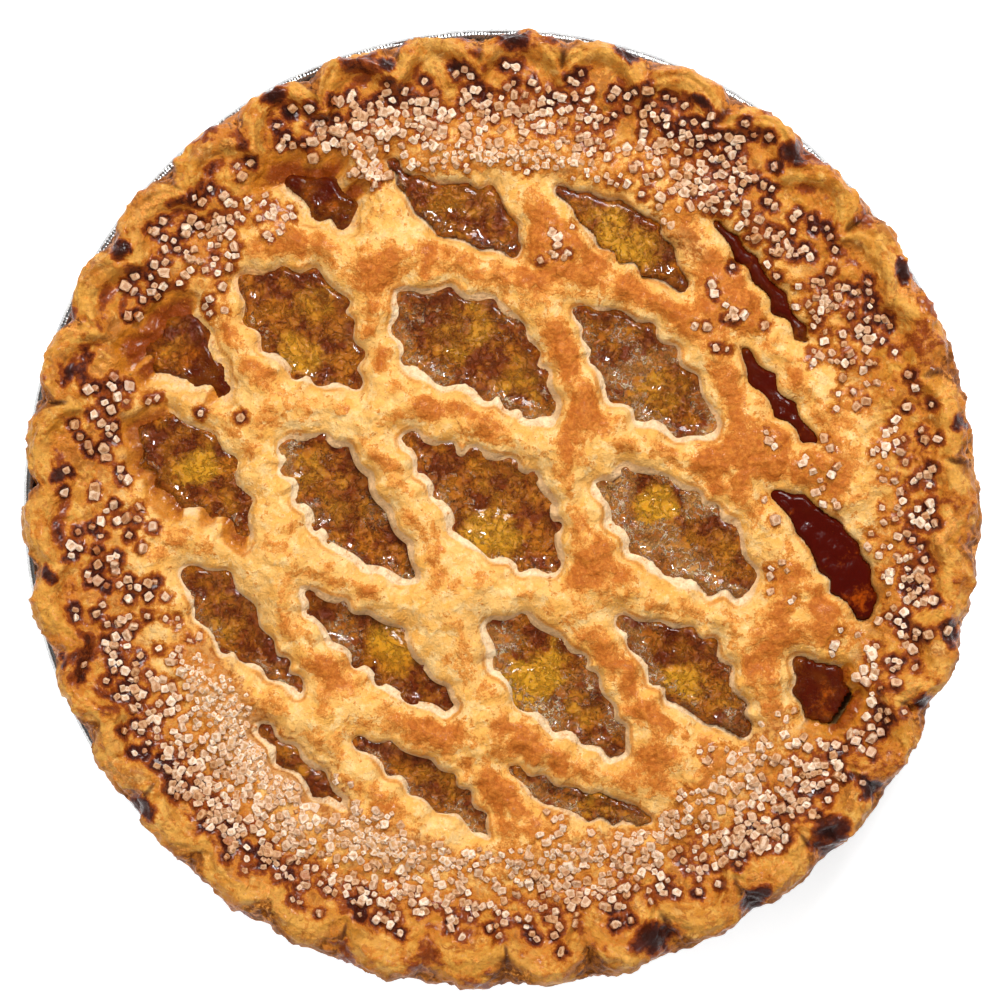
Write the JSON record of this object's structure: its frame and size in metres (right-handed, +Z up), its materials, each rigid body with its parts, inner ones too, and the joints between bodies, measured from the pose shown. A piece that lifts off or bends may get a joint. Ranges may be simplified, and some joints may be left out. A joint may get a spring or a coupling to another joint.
{
  "type": "lattice mango pie in a foil tin",
  "caption": "Round lattice fruit pie with a fluted sugared rim, mango filling showing through the scalloped holes, in its foil tin.",
  "frame": {"origin": "centre of the tin's flat underside", "axes": "+Z up, out of the pie's top; +X and +Y lie in the plane it rests on, with the lattice holes' long tips running from -X +Y to +X -Y"},
  "size_m": [0.2027, 0.203, 0.0416],
  "materials": {
    "foil": "bright rolled foil, creased and ribbed",
    "pastry": "baked golden shortcrust, glazed, browned in patches",
    "bottom_pastry": "pale baked shortcrust",
    "filling": "wet translucent mango gel with soft chunks",
    "sugar": "coarse translucent sugar crystals"
  },
  "bodies": {
    "root": {"foil_tin": "foil", "bottom_crust": "bottom_pastry", "mango_filling": "filling", "lattice_crust": "pastry"}
  },
  "joints": []
}
